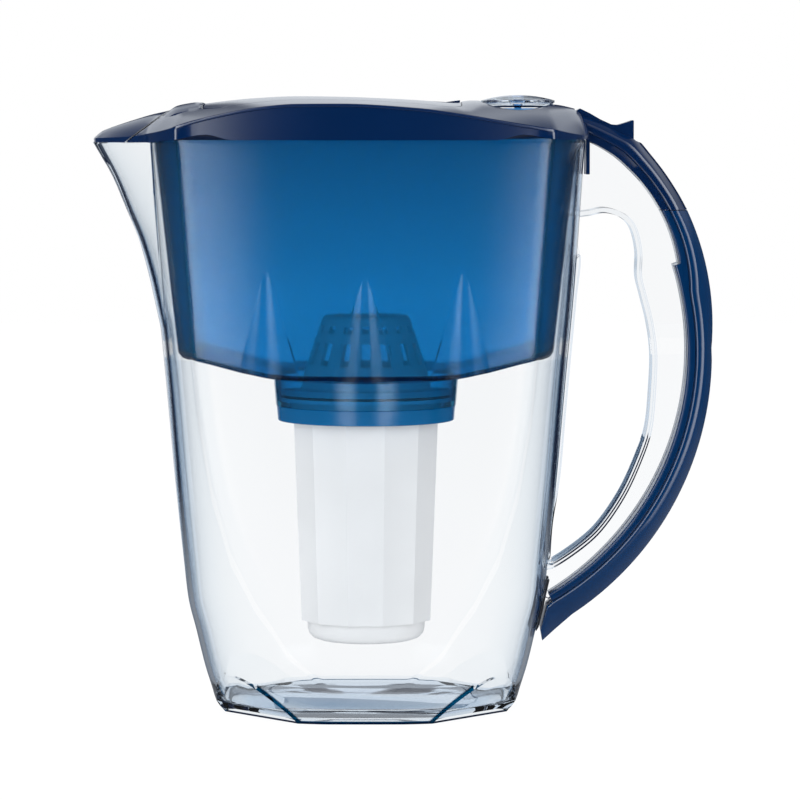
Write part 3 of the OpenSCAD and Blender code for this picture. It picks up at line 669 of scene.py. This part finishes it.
HOPPER_WALL = 2.0
HOPPER_LOW = 155.0
HOPPER_FLOOR = 141.0
HOPPER_HALF_DEPTH = 47
HOPPER_FLARE = 7.4
FLUTES = [(-41.2, 192.3), (0, 190.3), (41.2, 192.3)]
FLUTE_START = (1.2, 11.6)
FLUTE_DEPTH = 4.6
FLUTE_FOOT = 143.6
FLUTE_HALF = 14.0
FLUTE_SIDES = 180
DISC_SIDES = 128


def hopper_dip(x, z):
    """How far the wall reaches down past its corners, at its lower edge and less above it."""
    return along(HOPPER_DIP, abs(x)) * max(0.0, 1 - max(0.0, z - HOPPER_LOW) / 26) ** 2


def hopper_ring(z, t, at):
    """The hopper's outline at height z, t inside its outer wall, laid at height at."""
    k = (z - HOPPER_LOW) / (RIM - HOPPER_LOW)
    return [(x, y, at - hopper_dip(x, z)) for x,
        y in section(80.4 + 9.6 * k - t, 71.3 + 5.9 * k - t / 2, HOPPER_HALF_DEPTH + HOPPER_FLARE * k - t)]


def hopper_floor(share, t):
    """A ring of the sloping floor: share 0 at the lower corner, 1 at the neck."""
    out = []
    for x, y, dip in hopper_ring(HOPPER_LOW, t, 0):
        k = 36 / math.hypot(x, y)
        low = HOPPER_LOW - 2.6 + dip
        out.append((x + (x * k - x) * share, y + (y * k - y) * share,
            low + (HOPPER_FLOOR - low) * share + t))
    return out


def hopper_solid(name, t, top):
    """The hopper's form, t inside its outer wall: a sloping floor from the neck out, then the walls."""
    rings = [hopper_floor(s, t) for s in (1, 0.8, 0.6, 0.4, 0.25, 0.15, 0.09, 0.05, 0.025)]
    rings += [hopper_ring(HOPPER_LOW + 0.3, t + 0.25, HOPPER_LOW - 1.4 + t),
        hopper_ring(HOPPER_LOW + 1.5, t + 0.05, HOPPER_LOW + 0.4 + t * 0.6)]
    rings += [hopper_ring(z, t, z) for z in [HOPPER_LOW + 4 + 5 * k for k in range(17)]] + [hopper_ring(RIM,
        t, top)]
    return lofted(name, rings)


def press_flutes(piece, t):
    """Six cones, points up, taken off both broad sides; they start above the wall."""
    r = (FLUTE_HALF * FLUTE_HALF + FLUTE_DEPTH ** 2) / (2 * FLUTE_DEPTH)
    out, up = FLUTE_START
    for side in (1, -1):
        for x, tip in FLUTES:
            bow = 0.0006 * x * x
            wall = HOPPER_HALF_DEPTH + HOPPER_FLARE * (tip + up - HOPPER_LOW) / (RIM - HOPPER_LOW)
            top = Vector((x, side * (wall + out - bow), tip + up))
            foot = Vector((x, side * (46.2 - bow + r - FLUTE_DEPTH), FLUTE_FOOT))
            run = foot - top
            spread = r / run.length
            back = t / math.sin(math.atan(spread))
            length = run.length + back + 3
            fresh()
            bpy.ops.mesh.primitive_cone_add(vertices=FLUTE_SIDES, radius1=0.02, radius2=spread * length,
                depth=length,
                location=top + run.normalized() * (length / 2 - back),
                rotation=run.to_track_quat("Z", "Y").to_euler())
            merge(piece, bpy.context.object, "DIFFERENCE")
    return piece


def disc(name, r_low, r_high, low, high, x=0.0):
    """An upright cylinder or cone at (x, 0)."""
    fresh()
    bpy.ops.mesh.primitive_cone_add(vertices=DISC_SIDES, radius1=r_low, radius2=r_high, depth=high - low,
        location=(x, 0, (low + high) / 2))
    bpy.context.object.name = name
    return bpy.context.object


hopper = press_flutes(hopper_solid("hopper_shell", 0, RIM + 1.9), 0)
merge(hopper, lofted("flange", [[(x, y, z) for x, y in section(92.6, 77.8, 56.8)] for z in (RIM, RIM + 2)]),
    "UNION")
merge(hopper, lofted("upstand",
    [[(x, y, z) for x, y in section(91, 76.8, 55.9)] for z in (RIM + 1, RIM + 3.6)]), "UNION")
merge(hopper, disc("neck", 38.4, 39.5, 129.9, 143.4), "UNION")
inside = press_flutes(hopper_solid("inside", HOPPER_WALL, RIM + 6), HOPPER_WALL)
merge(hopper, inside, "DIFFERENCE")
merge(hopper, disc("seat", 37, 37, 132, 148), "DIFFERENCE")
merge(hopper, disc("bore", 33.6, 33.6, 128, 148), "DIFFERENCE")
done(hopper, "hopper", HOPPER, ("funnel",), crease=9)

collar = lofted("collar",
    [[(r * math.cos(math.radians(3 * k)), r * math.sin(math.radians(3 * k)), z) for k in range(120)]
    for r, z in ((37.2, 123.4), (37.6, 123.7), (38.1, 129.6), (37.8, 129.85))])
merge(collar, disc("bore", 33.6, 33.6, 120, 133), "DIFFERENCE")
done(collar, "hopper", COLLAR, ("neck_ring",), crease=30)

# ---- the cartridge --------------------------------------------------------------------------


def turned(name, profile, vertices=120):
    """A round solid through (radius, height) pairs, lowest first."""
    angles = [2 * math.pi * k / vertices for k in range(vertices)]
    return lofted(name, [[(r * math.cos(a), r * math.sin(a), z) for a in angles] for r, z in profile])


cup = turned("cup", [(17, 29.4), (20.5, 29.5), (22.8, 30.3), (24.3, 31.8), (25, 33.8), (25.15, 36),
    (25.2, 39.5)])
merge(cup, turned("cup_inside", [(21.5, 32), (23, 34), (23.4, 42)]), "DIFFERENCE")
done(cup, "cartridge", WHITE, ("cartridge_base",), crease=40)

# ---- the lid --------------------------------------------------------------------------------

CROWN = [(-115.6, 243.6), (-107, 247.7), (-98, 250.9), (-89.5, 253.5), (-82.2, 255.2), (-79, 256.3),
    (-70, 257.6),
    (-60, 258.9), (-48, 260.1), (-29, 261), (-11, 260.8), (8, 260.1), (23, 259.3), (38, 258.2), (43, 259.2),
    (64, 259), (81, 257.4), (89, 255.6), (95, 254)]
EDGE = [(-116, 243.2), (-98, 244.2), (-88, 245.6), (-80, 247.5), (-77, 248.6), (-71, 250.5), (-60, 253.2),
    (-45, 256), (-28, 257.5), (-10, 257.6), (22, 255.8), (42, 253.1), (60, 250), (79, 246.8), (88, 245),
    (95, 244)]
HEM = [(-120, 241.55), (-93, 241.6), (-80, 242.6), (-65, 245), (-54, 242.6), (54, 242.6), (65, 245),
    (79, 243.1), (95, 242.8)]
LID_LENGTH = 95.0
LID_DEPTH = 59.4
SKIN = 2.4
HATCH_AXIS = (-72.0, 254.9)
LID_BEAK = 115.6 - LID_LENGTH
LID_LIP = 0.8
SEAM = Vector((-98, 0, 243))
SEAM_NORMAL = Vector((-24, 0, 32)).normalized()


def lid_outline(t, beak):
    """The lid's plan, t inside its edge, with the beak over the spout."""
    return section(LID_LENGTH - t, 78.4 - t / 2, LID_DEPTH - t, beak, SPOUT_HALF - t, 26, 26)


def apron_outline(back, beak):
    """The lid's outline with the flat front and back set in behind the rim."""
    out = []
    for x, y in lid_outline(0, beak):
        share = min(1.0, max(0.0, (78.2 - abs(x)) / 5))
        out.append((x, y - math.copysign(back * share, y) if y else y))
    return out


def lid_solid(name, t, drop, beak, low=None, lip=0.0):
    """The lid's outer form, t inside its outline and drop lower; lip sets the apron back under the rim."""
    outline = lid_outline(t, beak)
    foot = apron_outline(lip, beak) if lip else outline
    rings = [[(x, y, along(HEM, x) if low is None else low) for x, y in foot]]
    if lip:
        for back, below in ((lip, 0.34), (0.15, 0.27), (0, 0.21), (0, 0.1), (0.06, 0.03)):
            rings.append([(x, y, along(EDGE, x) - below * min(4.2, along(EDGE, x) - along(HEM, x))) for x,
                y in apron_outline(back, beak)])
    for share in (1 if not lip else 0.996, 0.992, 0.985, 0.97, 0.94, 0.9, 0.84, 0.76, 0.66, 0.55, 0.44,
            0.33, 0.22, 0.12, 0.04):
        ring = []
        for x, y in outline:
            mid = 0.93 * x
            edge, crown = along(EDGE, x), along(CROWN, mid)
            ring.append((mid + (x - mid) * share, y * share,
                edge + (crown - edge) * (1 - share * share) - drop))
        rings.append(ring)
    return lofted(name, rings)


def split(piece, place, normal, far_side):
    """Cuts a solid by a plane and keeps the side that normal points to, or the other."""
    fresh()
    piece.select_set(True)
    bpy.context.view_layer.objects.active = piece
    bpy.ops.object.mode_set(mode="EDIT")
    bpy.ops.mesh.select_all(action="SELECT")
    bpy.ops.mesh.bisect(plane_co=place, plane_no=normal, use_fill=True, clear_inner=far_side,
        clear_outer=not far_side)
    bpy.ops.object.mode_set(mode="OBJECT")
    return piece


def rounded_box(name, x0, x1, half, corner, low, high, steps=10):
    """An upright block with a rounded rectangle for its plan."""
    plan = []
    for cx, cy, start in ((x1 - corner, half - corner, 0), (x0 + corner, half - corner, 90),
                          (x0 + corner, corner - half, 180), (x1 - corner, corner - half, 270)):
        plan += arc((cx, cy), corner, start, start + 90, steps)
    return lofted(name, [[(x, y, z) for x, y in plan] for z in (low, high)])


def rod(name, place, r, half, vertices=48):
    """A cylinder that lies along Y."""
    fresh()
    bpy.ops.mesh.primitive_cylinder_add(vertices=vertices, radius=r, depth=2 * half,
        location=(place[0], 0.0, place[1]),
        rotation=(math.radians(90), 0, 0))
    bpy.context.object.name = name
    return bpy.context.object


def block(name, low, high, origin=(0, 0, 0), turn=0.0):
    """A box between two corners, in a frame at origin that is turned about Y by turn degrees."""
    fresh()
    frame_turn = Matrix.Rotation(math.radians(turn), 4, "Y")
    middle = Vector(origin) + frame_turn @ ((Vector(low) + Vector(high)) / 2)
    bpy.ops.mesh.primitive_cube_add(size=1, location=middle, rotation=(0, math.radians(turn), 0),
        scale=Vector(high) - Vector(low))
    bpy.context.object.name = name
    return bpy.context.object


def swept(name, inner, outer, half, loops):
    """A solid along two edge lines, lower end first.

    Each loop holds (share from inner to outer, share of width) pairs.
    """
    return lofted(name, [[(i[0] + (o[0] - i[0]) * u, h * v, i[1] + (o[1] - i[1]) * u) for u, v in loop]
                         for i, o, h, loop in zip(inner, outer, half, loops)])


def grip_loop(inside, ridge, strip=0.0, back=0.4):
    """The grip's cross-section: a chamfered inner edge, flat sides out to a ridge and a falling back.

    A strip along the inside may be narrower.
    """
    flat = ridge - strip
    side = [(0, 0.74), (0.02, 0.84), (strip - 0.02, 0.86), (strip - 0.005, 0.87)] if strip else []
    side += [(strip, inside), (strip + 0.02 * flat, inside + 0.45 * (1 - inside)),
        (strip + 0.08 * flat, 0.982), (strip + 0.16 * flat, 0.994),
        (strip + 0.3 * flat, 1), (strip + 0.6 * flat, 1), (ridge, 0.999)]
    for share, width in ((0.06, 0.99), (0.16, 0.955), (0.3, 0.89), (0.46, 0.8), (0.62, 0.7), (0.78, 0.585),
            (0.9, 0.48), (1, back)):
        side.append((ridge + (1 - ridge) * share, width))
    return side + [(u, -v) for u, v in side[::-1]]


SPLIT = 212.8
SLIDE_AT = (88.6, 0, 253.3)
SLIDE_TILT = 23.0
DIAL_X = 64.5
TAIL_HALF = [(0, 12.5), (4, 12.3), (5, 12), (6, 11.6), (7, 11), (8, 10.2)]


def smooth_line(points, steps=5):
    """An open smooth curve through the points."""
    ends = [Vector(points[0]) * 2 - Vector(points[1]), *map(Vector, points),
        Vector(points[-1]) * 2 - Vector(points[-2])]
    out = []
    for i in range(len(points) - 1):
        p = ends[i:i + 4]
        for k in range(steps):
            t = k / steps
            out.append(0.5 * (2 * p[1] + (p[2] - p[0]) * t + (2 * p[0] - 5 * p[1] + 4 * p[2] - p[3]) * t * t
                + (3 * p[1] - p[0] - 3 * p[2] + p[3]) * t ** 3))
    return out + [Vector(points[-1])]


def tail_lines():
    """The inner and the outer line of the tail that runs down over the grip."""
    outer = smooth_line([(on_arc(GRIP_OUT_TOP, z) - (z - SPLIT) * 0.03, z) for z in (SPLIT + 0.3, 220,
        228.5, 236)]
        + [(114.6, 243.2), (107.4, 246.9), (98.4, 251.1), (90, 254.3), (83, 256)])
    (c, r) = GRIP_IN_TOP
    inner = smooth_line([(grip_inner(SPLIT + 0.3), SPLIT + 0.3)] + [arc(c, r, a, a, 1)[0] for a in (34.5,
        40, 45)]
        + [(106.6, 234.6), (100.4, 238.7), (94, 242), (88.2, 244.6), (86, 246.2)])
    return inner, outer


lid = lid_solid("lid_shell", 0, 0, LID_BEAK, lip=LID_LIP)
merge(lid, lid_solid("inside", 3.2, SKIN, 0, 238), "DIFFERENCE")
ledge = lid_solid("ledge", 2, 0.5, 0)
merge(ledge, lid_solid("under_ledge", 3.3, SKIN + 2.6, 0, 238), "DIFFERENCE")
merge(ledge, rounded_box("ledge_plan", -71.6, 42, 43, 13, 235, 270), "INTERSECT")
merge(ledge, rounded_box("ledge_hole", -63.4, 36, 37, 9, 230, 275), "DIFFERENCE")
merge(ledge, block("hinge_gap", (-80, -22, 230), (-64, 22, 275)), "DIFFERENCE")
merge(lid, ledge, "UNION")
housing = lid_solid("dial_housing", 2, 0.6, 0)
merge(housing, block("housing_plan", (45, -36, 252.6), (84, 36, 264)), "INTERSECT")
merge(lid, housing, "UNION")
hump = smooth_line([(-83.5, 254.4), (-81.2, 255.9), (-79.2, 256.9), (-76, 257.7), (-71.6, 258.4),
    (-69.6, 258.3), (-68.2, 257.4), (-67.6, 256)], 4)
hump = [(x, z, 1.0) for x, z in hump] + [(-67.5, 250, 0.0), (-75, 249, 0.0), (-83, 249.4, 0.0)]
for side in (1, -1):
    merge(lid, lofted("hump", [[(x, side * y, z - drop * share) for x, z, share in hump]
        for y, drop in ((12.4, 0.25), (13.2, 0.05), (14.5, 0), (17, 0.1), (20, 0.4), (24, 1.1), (28, 2.1),
        (32, 3.4))]), "UNION")
inner, outer = tail_lines()
merge(lid, swept("tail", inner, outer, [along(TAIL_HALF, k / 5) for k in range(len(outer))],
    [grip_loop(0.9, 0.67, strip=0.31, back=0.5)] * len(outer)), "UNION")
for side in (1, -1):
    merge(lid, block("rear_hook", (93.1, 7 * side - 2.6, 228), (94.7, 7 * side + 2.6, 244)), "UNION")
split(lid, SEAM, SEAM_NORMAL, False)
pocket = rounded_box("hatch_pocket", -68.5, 40.5, 41.5, 12.5, 230, 275)
merge(pocket, lid_solid("ledge_top", 2.7, SKIN + 0.3, 0, 220), "DIFFERENCE")
merge(lid, pocket, "DIFFERENCE")
merge(lid, rod("barrel_room", HATCH_AXIS, 3.5, 12.3), "DIFFERENCE")
swing = rod("swing_room", HATCH_AXIS, 4.4, 12.3)
merge(swing, block("above_axis", (-80, -20, HATCH_AXIS[1]), (-60, 20, 265)), "INTERSECT")
merge(lid, swing, "DIFFERENCE")
trough = rod("dial_trough", (DIAL_X, 255.1 + 36.6), 36.6, 70, 360)
merge(lid, trough, "DIFFERENCE")
merge(lid, disc("dial_bowl", 16.2, 16.2, 255, 275, x=DIAL_X), "DIFFERENCE")
merge(lid, lofted("jug_rim_room",
    [[(x, y, z) for x, y in section(93.1, 77.9, 57.3)] for z in (229, RIM + 2)]), "DIFFERENCE")
merge(lid, plate("web_room", [(80, 225), (125, 225), (118, 236), (108, 241.5), (80, 241.7)], 3.3),
    "DIFFERENCE")
merge(lid, block("slide_bed", (-1, -7.4, -0.15), (39, 7.4, 20), SLIDE_AT, SLIDE_TILT), "DIFFERENCE")
merge(lid, block("slide_slot", (5, -2.9, -4.4), (28, 2.9, 1), SLIDE_AT, SLIDE_TILT), "DIFFERENCE")
done(lid, "lid", NAVY, ("lid_frame",), crease=32)

hatch = lid_solid("flip_hatch", 0, 0, 0)
merge(hatch, lid_solid("inside", 3.2, SKIN, 0, 238), "DIFFERENCE")
merge(hatch, rounded_box("plan", -67.4, 40, 41, 12, 240, 270), "INTERSECT")
merge(hatch, rod("barrel", HATCH_AXIS, 3, 12), "UNION")
done(hatch, "hatch", NAVY, ("flip_lid",), crease=32)

flap = lid_solid("pouring_flap", 0, 0, LID_BEAK, lip=LID_LIP)
under = lid_solid("under", 2.4, 2, LID_BEAK, 238)
split(under, SEAM + Vector((1.4, 0, -1.9)), SEAM_NORMAL, True)
merge(flap, under, "DIFFERENCE")
split(flap, SEAM + SEAM_NORMAL * 0.7, SEAM_NORMAL, True)
done(flap, "flap", NAVY, ("spout_flap",), crease=32)

# ---- the grip -------------------------------------------------------------------------------

GRIP_STEPS = 40
angles = [-59 + 58 * k / GRIP_STEPS for k in range(GRIP_STEPS + 1)]
high = [150.5 + (189.6 - 150.5) * k / 11 for k in range(1, 12)] + [190.4 + (SPLIT - 190.4) * k / 7
    for k in range(8)]


def inner_edge(t, smooth=False):
    """The grip's inner line, t further out: with its step, or smooth where the cover runs past the step."""
    (c, r) = GRIP_IN
    low = [(74.5, 34.5), (77.2, 44.2)] if smooth else [(73.9 + t, 34.5), (75.6 + t, 41.5)]
    line = low + [arc(c, r + t, a, a, 1)[0] for a in angles]
    for z in high:
        line.append((max(on_arc(GRIP_IN, z), on_arc(GRIP_IN_TOP, z)) + t if smooth else grip_inner(z) + t,
            z))
    return line


def outer_edge():
    """The grip's outer line, from its foot up."""
    (c, r) = GRIP_OUT
    return [(75.4, 28.6), (80.6, 33.4)] + [arc(c, r, a * 56.5 / 59 + 0.3, a, 1)[0]
        for a in angles] + [(on_arc(GRIP_OUT_TOP, z), z) for z in high]


def grip_half(width, count):
    """Half widths along the grip, narrower at its foot."""
    return [width * (0.72 + 0.28 * min(1, k / 18)) for k in range(count)]


GRIP_HALF = 12.5
outer = outer_edge()
inner = inner_edge(3.5, True)
ridges = [min(0.5, 3.4 / math.dist(i, o)) for i, o in zip(inner, outer)]
cover = swept("grip_cover", inner, outer, grip_half(GRIP_HALF, len(outer)),
    [grip_loop(0.9, ridge) for ridge in ridges])
done(cover, "pitcher", GRIP, ("handle_cover",), crease=30)

strip = [0.86 * h for h in grip_half(GRIP_HALF, len(outer))[2:]]
liner_side = [(0, 0.9), (0.05, 0.97), (0.12, 0.992), (0.2, 1), (1, 1)]
liner_loop = liner_side + [(u, -v) for u, v in liner_side[::-1]]
liner = swept("grip_liner", inner_edge(0)[2:], inner_edge(3.3, True)[2:], strip, [liner_loop] * len(strip))
done(liner, "pitcher", GRIP, ("handle_liner",), crease=30)
